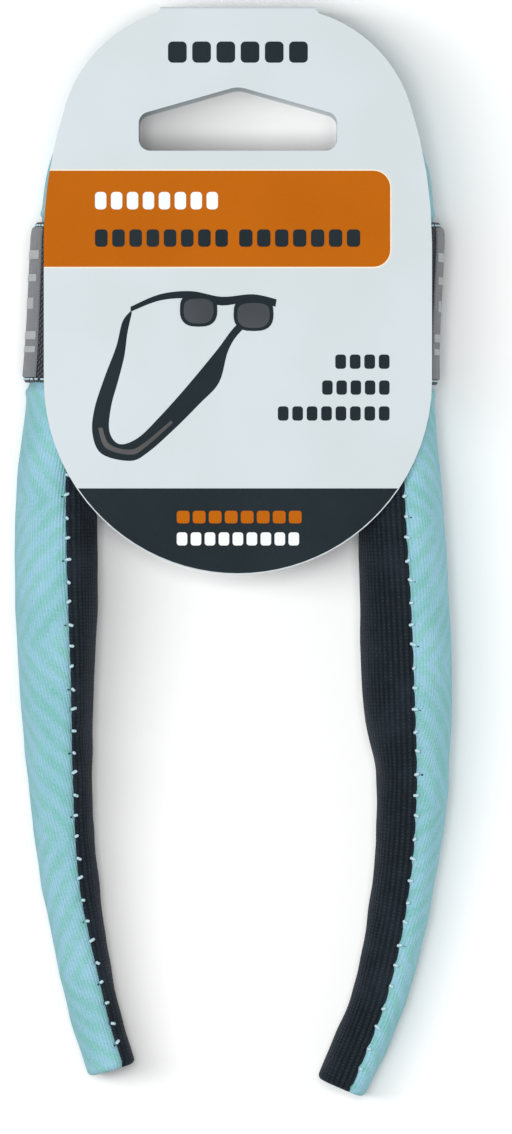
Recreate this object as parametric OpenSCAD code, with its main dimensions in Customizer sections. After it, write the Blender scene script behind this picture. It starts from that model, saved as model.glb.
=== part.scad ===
// Eyeglass retainer strap with a foam core, folded into a U on its header card.
// X is across the U, +Y points from the sleeves to the bend, +Z points away from the card's back.
// The origin is the centre of the bend, on the outer face of the card's back panel.

/* [Strap] */
// Outside radius of the bend that goes behind the neck
bend_r = 31.5; // [31:0.5:32.5]
// Thickness of the strap round the bend
bend_t = 8; // [8:0.5:10]
// Thickness of the fabric of both strips
fabric_t = 0.8; // [0.6:0.1:1]
// Gap between the edges of the two strips along a seam
seam_gap = 0.2; // [0.1:0.1:0.4]

/* [Stitching] */
// Distance from stitch to stitch along a seam
stitch_pitch = 3.45; // [3:0.05:6]
// Length of one stitch across the seam
stitch_l = 2.2; // [1.6:0.1:2.6]
// Diameter of the seam thread
thread_d = 0.6; // [0.4:0.1:0.8]

/* [Bands] */
// Thickness of the woven band round each arm
band_t = 0.5; // [0.3:0.1:0.5]
// Length of each band along the arm
band_l = 25.4; // [20:0.2:28]
// Thickness of the label on each band
label_t = 0.35; // [0.2:0.05:0.4]

/* [Header card] */
// Width of the card
card_w = 62.2; // [60:0.2:66]
// Distance from the crease to the bottom of the card
card_h = 90.5; // [86:0.5:96]
// Thickness of the card's board
board_t = 0.45; // [0.3:0.05:0.5]
// Room for the strap between the card's two panels
card_room = 21.6; // [21.6:0.2:24]
// Width of the fold over the top of the strap
spine_w = 25; // [20:1:28]

/* [Hidden] */

LEFT = -1;
RIGHT = 1;
FRONT = 1;
BACK = -1;

// The strap's shape at a few heights down each arm:
// [y, x of the middle, thickness, depth, height of the middle above the table, seam turn in degrees].
// The first row is the end of the bend and the last is the mouth of the sleeve.
mid_z = board_t + card_room / 2;
bend_depth = 19.4;
bend_mid_r = bend_r - bend_t / 2;
LEFT_STATIONS = [
    [0, -bend_mid_r, bend_t, bend_depth, mid_z, 8],
    [-3.5, -27.7, 9.4, 19.4, mid_z, 9],
    [-27, -28.4, 10.8, 19.6, mid_z, 11],
    [-45, -29.2, 13, 20.6, mid_z, 11],
    [-62, -29.2, 13.2, 20.6, mid_z, 14],
    [-79, -29.1, 11.6, 18.6, 10, 22],
    [-97, -28.2, 9.8, 15.4, 8.4, 21],
    [-110, -26.6, 9, 13.4, 7.3, 17],
    [-127, -23.4, 8, 12.4, 6.5, 31],
    [-137.3, -20.3, 8, 12.2, 6.2, 28]
];
RIGHT_STATIONS = [
    [0, bend_mid_r, bend_t, bend_depth, mid_z, 0],
    [-3.5, 27.6, 9.4, 19.4, mid_z, 0],
    [-27, 26.1, 10.8, 19.6, mid_z, -2],
    [-45, 26.2, 13.4, 20.6, mid_z, -3],
    [-62, 26.8, 14.4, 20.6, mid_z, -5],
    [-78, 27.3, 14.3, 20, 10.6, -6],
    [-92, 28.1, 11.6, 17, 9, -4],
    [-110, 26.2, 9.8, 13.8, 7.4, -10],
    [-126, 22.6, 8.8, 12.6, 6.6, -13],
    [-140.2, 16.5, 8.2, 12.2, 6.2, -22]
];
// Height of the flex joint where each foam core ends and its sleeve begins
LEFT_FOAM_END = -84;
RIGHT_FOAM_END = -88;

squareness = 0.8;   // 1 is an ellipse, less is a fuller section
strip_steps = 8;    // facets across a strip
core_steps = 16;    // facets round a foam core
bend_steps = 24;    // facets round the bend
ring_step = 6;      // distance between rings along an arm
knuckle_over = 0.4; // how far a flex joint's knuckle is wider than half the strap
flex_gap = 0.3;     // clearance round a knuckle
core_gap = 0.25;    // clearance between a core and its fabric, which also takes up their facets
joint_margin = 1;   // distance along an arm between a flex joint and the nearest plain ring

aqua = [0.57, 0.80, 0.86];
black_knit = [0.12, 0.15, 0.19];
pale_thread = [0.78, 0.87, 0.93];
foam_white = [0.93, 0.92, 0.88];
band_navy = [0.14, 0.17, 0.22];
label_grey = [0.50, 0.52, 0.55];
card_grey = [0.85, 0.88, 0.90];

// ---- Shape of the strap ----

// The row of stations above height y
function row_above(stations, y, i = 0) =
    i >= len(stations) - 2 || y >= stations[i + 1].x ? i : row_above(stations, y, i + 1);

// Slope of column k at row i
function column_slope(stations, i, k) =
    let (a = max(i - 1, 0), b = min(i + 1, len(stations) - 1))
    (stations[b][k] - stations[a][k]) / (stations[b].x - stations[a].x);

// Column k at height y, on a smooth curve through the stations
function column(stations, y, k) =
    let (
        i = row_above(stations, y),
        p = stations[i],
        q = stations[i + 1],
        span = q.x - p.x,
        t = (y - p.x) / span,
        mp = column_slope(stations, i, k) * span,
        mq = column_slope(stations, i + 1, k) * span
    )
    (2 * t ^ 3 - 3 * t ^ 2 + 1) * p[k] + (t ^ 3 - 2 * t ^ 2 + t) * mp
    + (3 * t ^ 2 - 2 * t ^ 3) * q[k] + (t ^ 3 - t ^ 2) * mq;

function stations(side) = side == LEFT ? LEFT_STATIONS : RIGHT_STATIONS;
function foam_end(side) = side == LEFT ? LEFT_FOAM_END : RIGHT_FOAM_END;
function mouth_y(side) = stations(side)[len(stations(side)) - 1].x;
function middle(side, y) = [column(stations(side), y, 1), y, column(stations(side), y, 4)];
function half_t(side, y) = column(stations(side), y, 2) / 2;
function half_d(side, y) = column(stations(side), y, 3) / 2;
function seam_turn(side, y) = column(stations(side), y, 5);

function unit(v) = v / norm(v);

// Direction down the arm at height y
function down(side, y) = unit(middle(side, y - 0.1) - middle(side, y + 0.1));

// Direction out of the U at height y, level with the table
function outward(side, y) =
    let (d = down(side, y))
    side * unit([-d.y, d.x, 0]);

function fuller(v) = sign(v) * abs(v) ^ squareness;

// Point of the strap's oval section: angle 0 is its outer side, 90 its front and 180 its inner side
function oval(a, b, angle) = [a * fuller(cos(angle)), b * fuller(sin(angle))];

// Closed outline of a strip of fabric, wrapped from one angle to the other
function strip_outline(a, b, from, to, wall, steps) = concat(
    [for (i = [0:steps]) oval(a, b, from + (to - from) * i / steps)],
    [for (i = [steps:-1:0]) oval(a - wall, b - wall, from + (to - from) * i / steps)]
);

// Closed outline of a solid core. Its first and last points are level, so an end cap can bend round a knuckle.
function core_outline(a, b) =
    [for (i = [0:core_steps - 1]) oval(a, b, (i + 0.5) * 360 / core_steps)];

// Places an outline across an arm. With a knuckle radius the outline bulges up the arm to that radius.
function arm_ring(side, y, outline, knuckle = 0) =
    let (c = middle(side, y), n = outward(side, y), d = down(side, y))
    [for (q = outline) c + n * q.x + [0, 0, q.y] - d * sqrt(max(knuckle ^ 2 - q.x ^ 2, 0))];

// The bend's angle at which a point of that radius meets the clearance round the arm's knuckle
function bend_start(r) =
    let (clear = bend_t / 2 + knuckle_over + flex_gap)
    acos((r ^ 2 + bend_mid_r ^ 2 - clear ^ 2) / (2 * r * bend_mid_r));

// Places an outline across the bend: share 0 is its right end and share 1 its left end
function bend_ring(share, outline) = [
    for (q = outline)
        let (r = bend_mid_r + q.x, first = bend_start(r), a = first + (180 - 2 * first) * share)
        [r * cos(a), r * sin(a), mid_z + q.y]
];

// The seams' turn round the bend, which joins the turns at the top of the two arms
function bend_turn(share) =
    RIGHT_STATIONS[0][5] + (LEFT_STATIONS[0][5] - RIGHT_STATIONS[0][5]) * share;

// Closed solid through rings that all have the same even number of points
module skin(rings, flip) {
    n = len(rings[0]);
    last = (len(rings) - 1) * n;
    points = [for (ring = rings) each ring];
    walls = [
        for (i = [0:n:last - n], j = [0:n - 1])
            let (a = i + j, b = i + (j + 1) % n)
            each [[a, b + n, b], [a, a + n, b + n]]
    ];
    first_cap = [
        for (j = [0:n / 2 - 2])
            each [[j, n - 2 - j, n - 1 - j], [j, j + 1, n - 2 - j]]
    ];
    last_cap = [for (f = first_cap) [last + f[0], last + f[2], last + f[1]]];
    faces = concat(walls, first_cap, last_cap);
    polyhedron(points, flip ? [for (f = faces) [f[0], f[2], f[1]]] : faces, convexity = 6);
}

// Evenly spaced heights from top to bottom
function heights(top, bottom, step) =
    let (n = ceil((top - bottom) / step))
    [for (i = [0:n]) top - (top - bottom) * i / n];

// Half the seam gap as an angle of the section
function gap_angle(b) = asin((seam_gap / 2 / b) ^ (1 / squareness)) / 2;

// From and to angles of a strip, on either side of the two seams
function strip_angles(outer, turn, b) =
    let (first = (outer ? -90 : 90) + turn, gap = gap_angle(b))
    [first + gap, first + 180 - gap];

function strip_at(side, y, outer) =
    let (a = half_t(side, y), b = half_d(side, y), span = strip_angles(outer, seam_turn(side, y), b))
    strip_outline(a, b, span[0], span[1], fabric_t, strip_steps);

function core_at(side, y) =
    let (inset = fabric_t + core_gap)
    core_outline(half_t(side, y) - inset, half_d(side, y) - inset);

// Radius of the knuckle at the top of a sleeve, and at the top of an arm
function knuckle(side, y) = half_t(side, y) + knuckle_over;

// ---- Strips and cores ----

module bend_strip(outer) {
    rings = [
        for (i = [0:bend_steps])
            let (share = i / bend_steps, span = strip_angles(outer, bend_turn(share), bend_depth / 2))
            bend_ring(share, strip_outline(bend_t / 2, bend_depth / 2, span[0], span[1], fabric_t, strip_steps))
    ];
    skin(rings, true);
}

module bend_core() {
    inset = fabric_t + core_gap;
    outline = core_outline(bend_t / 2 - inset, bend_depth / 2 - inset);
    skin([for (i = [0:bend_steps]) bend_ring(i / bend_steps, outline)], true);
}

// Height at which the plain rings stop above the flex joint, clear of its socket
function socket_top(side) = foam_end(side) + knuckle(side, foam_end(side)) + joint_margin;

// Heights of the plain rings between an arm's two flex joints
function arm_heights(side) = heights(-joint_margin, socket_top(side), ring_step);

module arm_strip(side, outer) {
    end = foam_end(side);
    rings = concat(
        [arm_ring(side, 0, strip_at(side, 0, outer), knuckle(side, 0))],
        [for (y = arm_heights(side)) arm_ring(side, y, strip_at(side, y, outer))],
        [arm_ring(side, end, strip_at(side, end, outer), knuckle(side, end) + flex_gap)]
    );
    skin(rings, side == LEFT);
}

module arm_core(side) {
    end = foam_end(side);
    rings = concat(
        [arm_ring(side, 0, core_at(side, 0), knuckle(side, 0))],
        [for (y = arm_heights(side)) arm_ring(side, y, core_at(side, y))],
        [arm_ring(side, end, core_at(side, end), knuckle(side, end) + flex_gap)]
    );
    skin(rings, side == LEFT);
}

module sleeve_strip(side, outer) {
    top = foam_end(side);
    plain = heights(top - joint_margin, mouth_y(side), ring_step);
    rings = concat(
        [arm_ring(side, top, strip_at(side, top, outer), knuckle(side, top))],
        [for (y = plain) arm_ring(side, y, strip_at(side, y, outer))]
    );
    skin(rings, side == LEFT);
}

// ---- Bands and labels ----

// A wrap that lies on the strap, with its own thickness, from one angle to the other
module wrap(side, top, bottom, lift, thick, from, to, steps) {
    rings = [
        for (y = heights(top, bottom, ring_step))
            arm_ring(side, y, strip_outline(
                half_t(side, y) + lift + thick, half_d(side, y) + lift + thick, from, to, thick, steps
            ))
    ];
    skin(rings, side == LEFT);
}

band_top = -1.2;   // height of a band's upper edge
band_lift = 0.1;   // clearance between a band and the fabric
label_gap = 0.1;   // clearance between a label and its band
label_inset = 0.8; // distance from a label's end to its band's edge
label_reach = 42;  // angle that a label covers on each side of the arm's outer line
band_reach = 179;  // the same for a band, whose two ends meet on the arm's inner line

module band(side) {
    wrap(side, band_top, band_top - band_l, band_lift, band_t, -band_reach, band_reach, 3 * strip_steps);
}

module label(side) {
    lift = band_lift + band_t + label_gap;
    top = band_top - label_inset;
    wrap(side, top, band_top - band_l + label_inset, lift, label_t, -label_reach, label_reach, strip_steps);
}

// ---- Stitches ----

thread_sunk = 0.15; // how far a thread's middle lies under the fabric's surface
stitch_turn = 13;   // angle to each side of a seam whose chord gives a stitch its direction
mouth_margin = 2;   // distance from the last stitch to the mouth of a sleeve
bend_margin = 0.06; // share of the bend without stitches at each end

// A short round bar from one point to the other
module bar(from, to) {
    v = to - from;
    translate(from)
        rotate([0, acos(v.z / norm(v)), atan2(v.y, v.x)])
            cylinder(h = norm(v), d = thread_d, $fn = 24);
}

// Point under the surface at one end of a stitch, on either side of a seam
function stitch_end(a, b, seam, turn, end) =
    let (
        seam_angle = (seam == FRONT ? 90 : -90) + turn,
        p = oval(a - thread_sunk, b - thread_sunk, seam_angle - stitch_turn),
        q = oval(a - thread_sunk, b - thread_sunk, seam_angle + stitch_turn),
        v = unit(q - p) * stitch_l / 2
    )
    (p + q) / 2 + (end == 0 ? -v : v);

module arm_stitch(side, y, seam) {
    ends = [
        for (end = [0, 1])
            stitch_end(half_t(side, y), half_d(side, y), seam, seam_turn(side, y), end)
    ];
    ring = arm_ring(side, y, ends);
    bar(ring[0], ring[1]);
}

// Heights of the stitches from top to bottom, evenly spaced along the strap
function stitch_heights(side, y, bottom) =
    y < bottom ? [] : concat([y], stitch_heights(side, y + stitch_pitch * down(side, y).y, bottom));

module arm_stitches(side, seam) {
    top = band_top - band_l - stitch_pitch / 2;
    for (y = stitch_heights(side, top, socket_top(side) + joint_margin))
        arm_stitch(side, y, seam);
}

module sleeve_stitches(side, seam) {
    for (y = stitch_heights(side, foam_end(side) - joint_margin, mouth_y(side) + mouth_margin))
        arm_stitch(side, y, seam);
}

module neck_stitches(seam) {
    stitched = 1 - 2 * bend_margin;
    count = floor(PI * bend_mid_r * stitched / stitch_pitch);
    for (i = [0:count]) {
        share = bend_margin + stitched * i / count;
        ends = [for (end = [0, 1]) stitch_end(bend_t / 2, bend_depth / 2, seam, bend_turn(share), end)];
        ring = bend_ring(share, ends);
        bar(ring[0], ring[1]);
    }
}

// ---- Header card ----

fold_slack = 1.5;                    // gap between the strap's bend and the card's fold
crease_y = bend_r + fold_slack;      // height of the crease at the top of both panels
corner_mid = [6.5, crease_y - 21.7]; // centre of the round at a panel's upper corner
corner_r = 22.1;
corner_from = 18;                    // angles at which that round begins and ends
corner_to = 73;
outline_step = 5;                    // degrees for each facet of the outline
hole_step = 15;                      // degrees for each facet of the hole's corners

function arc(middle, r, from, to, step) =
    let (n = ceil(abs(to - from) / step))
    [for (i = [0:n]) middle + r * [cos(from + (to - from) * i / n), sin(from + (to - from) * i / n)]];

function mirrored(points) = [for (i = [len(points) - 1:-1:0]) [-points[i].x, points[i].y]];

// Right half of the card's outline, from the bottom to the crease
function half_outline() =
    let (
        half_w = card_w / 2,
        joint = corner_mid + corner_r * [cos(corner_from), sin(corner_from)],
        side_r = (half_w - joint.x) / (1 - cos(corner_from)),
        side_mid = joint - side_r * [cos(corner_from), sin(corner_from)]
    )
    concat(
        arc([0, crease_y - card_h + half_w], half_w, -90 + outline_step / 2, 0, outline_step),
        arc(side_mid, side_r, 0, corner_from, outline_step),
        arc(corner_mid, corner_r, corner_from + outline_step, corner_to, outline_step),
        [[spine_w / 2, crease_y]]
    );

// The corner of an outline at q, rounded to radius r
function rounded_corner(p, q, s, r) =
    let (
        u = unit(p - q),
        v = unit(s - q),
        half = acos(u * v) / 2,
        middle = q + unit(u + v) * r / sin(half),
        start = q + u * r / tan(half) - middle,
        turn = cross(u, v) < 0 ? 180 - 2 * half : 2 * half - 180,
        from = atan2(start.y, start.x)
    )
    arc(middle, r, from, from + turn, hole_step);

// Hang hole for a shop hook: a wide slot with a pointed top
hole_half_w = 15.9;
hole_bottom = crease_y - 22.6;
hole_shoulder = crease_y - 16.8;
hole_top = crease_y - 12.3;
HOLE_CORNERS = [
    [hole_half_w, hole_bottom],
    [hole_half_w, hole_shoulder],
    [0, hole_top],
    [-hole_half_w, hole_shoulder],
    [-hole_half_w, hole_bottom]
];
HOLE_RADII = [1.8, 1.8, 4, 1.8, 1.8];

function hang_hole() =
    let (n = len(HOLE_CORNERS))
    [
        for (i = [0:n - 1])
            each rounded_corner(
                HOLE_CORNERS[(i + n - 1) % n], HOLE_CORNERS[i], HOLE_CORNERS[(i + 1) % n], HOLE_RADII[i]
            )
    ];

module card_panel() {
    half = half_outline();
    linear_extrude(height = board_t)
        difference() {
            polygon(concat(half, mirrored(half)));
            polygon(hang_hole());
        }
}

// ---- One module for each node ----

module neck_outer_strip() { color(aqua) bend_strip(true); }
module neck_inner_strip() { color(black_knit) bend_strip(false); }
module neck_foam_core() { color(foam_white) bend_core(); }
module neck_front_stitches() { color(pale_thread) neck_stitches(FRONT); }
module neck_back_stitches() { color(pale_thread) neck_stitches(BACK); }

module outer_strip(side) { color(aqua) arm_strip(side, true); }
module inner_strip(side) { color(black_knit) arm_strip(side, false); }
module foam_core(side) { color(foam_white) arm_core(side); }
module front_stitches(side) { color(pale_thread) arm_stitches(side, FRONT); }
module back_stitches(side) { color(pale_thread) arm_stitches(side, BACK); }
module woven_band(side) { color(band_navy) band(side); }
module grey_label(side) { color(label_grey) label(side); }
module sleeve_outer_strip(side) { color(aqua) sleeve_strip(side, true); }
module sleeve_inner_strip(side) { color(black_knit) sleeve_strip(side, false); }
module sleeve_front_stitches(side) { color(pale_thread) sleeve_stitches(side, FRONT); }
module sleeve_back_stitches(side) { color(pale_thread) sleeve_stitches(side, BACK); }

module card_back() { color(card_grey) card_panel(); }
module card_front() { color(card_grey) translate([0, 0, board_t + card_room]) card_panel(); }
module card_spine() {
    color(card_grey)
        translate([-spine_w / 2, crease_y, 0])
            cube([spine_w, board_t, card_room + 2 * board_t]);
}

neck_outer_strip();
neck_inner_strip();
neck_foam_core();
neck_front_stitches();
neck_back_stitches();
outer_strip(LEFT);  // left_outer_strip
inner_strip(LEFT);  // left_inner_strip
foam_core(LEFT);  // left_foam_core
front_stitches(LEFT);  // left_front_stitches
back_stitches(LEFT);  // left_back_stitches
woven_band(LEFT);  // left_band
grey_label(LEFT);  // left_label
sleeve_outer_strip(LEFT);  // left_sleeve_outer_strip
sleeve_inner_strip(LEFT);  // left_sleeve_inner_strip
sleeve_front_stitches(LEFT);  // left_sleeve_front_stitches
sleeve_back_stitches(LEFT);  // left_sleeve_back_stitches
outer_strip(RIGHT);  // right_outer_strip
inner_strip(RIGHT);  // right_inner_strip
foam_core(RIGHT);  // right_foam_core
front_stitches(RIGHT);  // right_front_stitches
back_stitches(RIGHT);  // right_back_stitches
woven_band(RIGHT);  // right_band
grey_label(RIGHT);  // right_label
sleeve_outer_strip(RIGHT);  // right_sleeve_outer_strip
sleeve_inner_strip(RIGHT);  // right_sleeve_inner_strip
sleeve_front_stitches(RIGHT);  // right_sleeve_front_stitches
sleeve_back_stitches(RIGHT);  // right_sleeve_back_stitches
card_front();
card_spine();
card_back();
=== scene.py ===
"""Looks of the eyeglass retainer strap on its header card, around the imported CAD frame.

Lengths in this script are millimetres until a mesh is made, and every mesh is in metres.
"""

import math

import bpy
import numpy as np
from mathutils import Matrix, Vector


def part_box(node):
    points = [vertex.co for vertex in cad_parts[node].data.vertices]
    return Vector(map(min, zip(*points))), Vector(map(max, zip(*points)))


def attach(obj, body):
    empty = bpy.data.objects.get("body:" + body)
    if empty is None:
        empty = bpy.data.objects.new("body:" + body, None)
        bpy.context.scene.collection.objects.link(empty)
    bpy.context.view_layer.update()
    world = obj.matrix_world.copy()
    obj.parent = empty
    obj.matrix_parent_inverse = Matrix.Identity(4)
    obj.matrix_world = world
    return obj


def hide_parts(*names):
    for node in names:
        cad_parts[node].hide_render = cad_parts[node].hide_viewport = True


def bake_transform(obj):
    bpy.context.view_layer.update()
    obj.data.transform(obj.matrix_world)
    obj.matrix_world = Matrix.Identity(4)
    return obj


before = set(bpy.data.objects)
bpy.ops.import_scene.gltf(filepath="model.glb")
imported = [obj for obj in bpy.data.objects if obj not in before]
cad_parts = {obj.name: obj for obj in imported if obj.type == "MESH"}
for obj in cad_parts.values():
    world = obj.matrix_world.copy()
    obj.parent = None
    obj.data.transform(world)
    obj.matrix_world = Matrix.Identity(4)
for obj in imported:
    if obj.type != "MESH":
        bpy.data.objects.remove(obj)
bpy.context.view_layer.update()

MM = 0.001
UP = np.array([0.0, 0.0, 1.0])
SIDES = {"left": -1, "right": 1}
SEAMS = {"front": 1, "back": -1}

# The card's front panel, the middle height of the strap, and its bend's middle radius and thickness.
CARD_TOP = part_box("card_front")[1][2] / MM
CARD_INNER_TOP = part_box("card_front")[0][2] / MM
BOARD = CARD_TOP - CARD_INNER_TOP
MID_Z = CARD_TOP / 2
BEND_R, BEND_T = 27.5, 8

# The arms, as in part.scad: y, x, thickness, depth, height of the middle, seam turn in degrees.
LEFT_STATIONS = np.array([
    [0, -BEND_R, BEND_T, 19.4, MID_Z, 8],
    [-3.5, -27.7, 9.4, 19.4, MID_Z, 9],
    [-27, -28.4, 10.8, 19.6, MID_Z, 11],
    [-45, -29.2, 13, 20.6, MID_Z, 11],
    [-62, -29.2, 13.2, 20.6, MID_Z, 14],
    [-79, -29.1, 11.6, 18.6, 10, 22],
    [-97, -28.2, 9.8, 15.4, 8.4, 21],
    [-110, -26.6, 9, 13.4, 7.3, 17],
    [-127, -23.4, 8, 12.4, 6.5, 31],
    [-137.3, -20.3, 8, 12.2, 6.2, 28],
])
RIGHT_STATIONS = np.array([
    [0, BEND_R, BEND_T, 19.4, MID_Z, 0],
    [-3.5, 27.6, 9.4, 19.4, MID_Z, 0],
    [-27, 26.1, 10.8, 19.6, MID_Z, -2],
    [-45, 26.2, 13.4, 20.6, MID_Z, -3],
    [-62, 26.8, 14.4, 20.6, MID_Z, -5],
    [-78, 27.3, 14.3, 20, 10.6, -6],
    [-92, 28.1, 11.6, 17, 9, -4],
    [-110, 26.2, 9.8, 13.8, 7.4, -10],
    [-126, 22.6, 8.8, 12.6, 6.6, -13],
    [-140.2, 16.5, 8.2, 12.2, 6.2, -22],
])
STATIONS = {"left": LEFT_STATIONS, "right": RIGHT_STATIONS}
FOAM_END = {"left": -84, "right": -88}
SQUARENESS = 0.8
APEX = -BEND_R * math.pi / 2

# Fabric, with the turned end of a sleeve, and the pitch of its stitches.
FABRIC = 0.8
STRIP_COLUMNS = 34
HEM = 5.0
HEM_FABRIC = 1.4
PITCH = 3.45
RING_STEP = PITCH / 8
STITCH_R = 0.26
NEEDLE_HOLE_R = 0.16

# The zigzag print: its turns, where it starts on each arm, and its stretch over part of the left arm.
ZIGZAG = 23.0
PRINT_START = {"left": 0.5, "right": 20}
STRETCH, STRETCH_FROM, STRETCH_OVER = 8, 68, 31

# The band round each arm, as distances along the arm and heights over the strap's plain shape.
BAND_FROM, BAND_TO = 1.2, 26.8
UNDER_BAND, UNDER_GAP = 1.2, 0.4
BAND_HEIGHTS = (0.12, 0.62)
BAND_SAG = 0.18
BAND_STITCH_R, BAND_STITCH_IN, BAND_STITCH_HEIGHT = 0.16, 0.5, 0.66
LABEL_IN = 0.8
LABEL_HALF_DEG = 42
LABEL_HEIGHTS = (0.66, 1.0)
MARK_HEIGHTS = (0.98, 1.09)
TAPE_EDGE = 0.5
# Where each plain bar on the label begins, its width, and how many degrees it reaches each way.
LABEL_BARS = [(5.6, 1.4, 38), (9.4, 1.2, 34), (13.2, 1.8, 28), (18.6, 1.3, 38), (21.0, 1.0, 38)]


# ---- Shape of the strap ----


def column(side, y, k):
    """Column k of a side's stations at heights y, on a smooth curve."""
    rows = STATIONS[side]
    ys, values = rows[:, 0], rows[:, k]
    last = len(rows) - 1
    i = np.clip(np.searchsorted(-ys, -y, side="right") - 1, 0, last - 1)
    before, after = np.maximum(np.arange(last + 1) - 1, 0), np.minimum(np.arange(last + 1) + 1, last)
    slopes = (values[after] - values[before]) / (ys[after] - ys[before])
    span = ys[i + 1] - ys[i]
    t = (y - ys[i]) / span
    return (
        (2 * t**3 - 3 * t**2 + 1) * values[i]
        + (t**3 - 2 * t**2 + t) * slopes[i] * span
        + (3 * t**2 - 2 * t**3) * values[i + 1]
        + (t**3 - t**2) * slopes[i + 1] * span
    )


def unit(v):
    return v / np.linalg.norm(v, axis=-1, keepdims=True)


class Arm:
    """Half of the strap.

    Its distance s is 0 at the end of the bend, APEX at the top and length at the mouth.
    """

    def __init__(self, side):
        self.side, self.sign = side, SIDES[side]
        self.y = np.linspace(0, STATIONS[side][-1, 0], 800)
        self.middle = np.stack([column(side, self.y, 1), self.y, column(side, self.y, 4)], axis=1)
        steps = np.linalg.norm(np.diff(self.middle, axis=0), axis=1)
        self.s = np.concatenate([[0], np.cumsum(steps)])
        self.length = self.s[-1]
        self.down = unit(np.gradient(self.middle, self.s, axis=0))
        self.foam_s = self.at_y(FOAM_END[side])

    def at_y(self, y):
        return float(np.interp(-y, -self.y, self.s))

    def places(self, s):
        """Middle, outward direction, half thickness, half depth and seam turn at distances s."""
        s = np.asarray(s, float)
        y = np.interp(s, self.s, self.y)
        arm_middle = np.stack([np.interp(s, self.s, self.middle[:, k]) for k in range(3)], axis=1)
        down = unit(np.stack([np.interp(s, self.s, self.down[:, k]) for k in range(3)], axis=1))
        arm_out = self.sign * unit(np.stack([-down[:, 1], down[:, 0], 0 * s], axis=1))
        angle = np.clip(-s, 0, None) / BEND_R
        bend_out = np.stack([self.sign * np.cos(angle), np.sin(angle), 0 * s], axis=1)
        on_bend = (s < 0)[:, None]
        middle = np.where(on_bend, BEND_R * bend_out + MID_Z * UP, arm_middle)
        turn = column(self.side, y, 5)
        apex_turn = (LEFT_STATIONS[0, 5] + RIGHT_STATIONS[0, 5]) / 2
        turn = np.where(s < 0, turn + (apex_turn - turn) * np.clip(s / APEX, 0, 1), turn)
        return (
            middle,
            np.where(on_bend, bend_out, arm_out),
            column(self.side, y, 2) / 2,
            column(self.side, y, 3) / 2,
            turn,
        )


ARMS = {side: Arm(side) for side in SIDES}


def oval(a, b, degrees):
    """Points of the strap's section, with arrays that broadcast."""
    c, s = np.cos(np.radians(degrees)), np.sin(np.radians(degrees))
    return a * np.sign(c) * np.abs(c) ** SQUARENESS, b * np.sign(s) * np.abs(s) ** SQUARENESS


class Skin:
    """Part of the strap's surface: rows at distances s, each with columns from one angle to another.

    round is each point's distance from its row's start, and width is the row's whole length.
    """

    def __init__(self, arm, s, from_deg, to_deg, columns, lift=0.0, trim=0.0):
        s = np.asarray(s, float)
        self.arm, self.s = arm, s
        middle, out, a, b, turn = arm.places(s)
        fine = np.linspace(0, 1, 121)
        angles = turn[:, None] + from_deg + (to_deg - from_deg) * fine
        u, v = oval((a + lift)[:, None], (b + lift)[:, None], angles)
        steps = np.hypot(np.diff(u, axis=1), np.diff(v, axis=1))
        lengths = np.concatenate([np.zeros((len(s), 1)), np.cumsum(steps, axis=1)], axis=1)
        self.width = lengths[:, -1]
        trim = np.broadcast_to(trim, s.shape)
        share = np.linspace(0, 1, columns)
        self.round = trim[:, None] + (self.width - 2 * trim)[:, None] * share
        row_u = np.stack([np.interp(self.round[i], lengths[i], u[i]) for i in range(len(s))])
        row_v = np.stack([np.interp(self.round[i], lengths[i], v[i]) for i in range(len(s))])
        du, dv = np.gradient(row_u, axis=1), np.gradient(row_v, axis=1)
        size = np.hypot(du, dv)
        facing = 1 if to_deg > from_deg else -1
        normal_u, normal_v = facing * dv / size, -facing * du / size
        self.point = middle[:, None] + out[:, None] * row_u[..., None] + UP * row_v[..., None]
        self.normal = out[:, None] * normal_u[..., None] + UP * normal_v[..., None]

    def raised(self, height):
        """The points, moved along the surface's normal."""
        return self.point + self.normal * np.broadcast_to(height, self.round.shape)[..., None]


# ---- Meshes ----


def link(name, mesh):
    piece = bpy.data.objects.new(name, mesh)
    bpy.context.scene.collection.objects.link(piece)
    return piece


def mesh_piece(name, points, faces, material, maps=None, smooth=True):
    """A mesh piece from points in millimetres. Each map gives every point its own pair."""
    mesh = bpy.data.meshes.new(name)
    mesh.from_pydata((np.asarray(points) * MM).tolist(), [], [list(map(int, f)) for f in faces])
    for title, pairs in (maps or {}).items():
        layer = mesh.uv_layers.new(name=title)
        corners = np.empty(len(mesh.loops), np.int32)
        mesh.loops.foreach_get("vertex_index", corners)
        layer.data.foreach_set("uv", np.asarray(pairs, np.float32)[corners].ravel())
    mesh.polygons.foreach_set("use_smooth", [smooth] * len(mesh.polygons))
    mesh.materials.append(material)
    mesh.update()
    return link(name, mesh)


def print_place(arm, s):
    """Place along the zigzag print, which turns at each multiple of ZIGZAG."""
    start = s + PRINT_START[arm.side]
    if arm.side == "right":
        return start
    return start - STRETCH * np.clip((s - STRETCH_FROM) / STRETCH_OVER, 0, 1)


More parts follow.
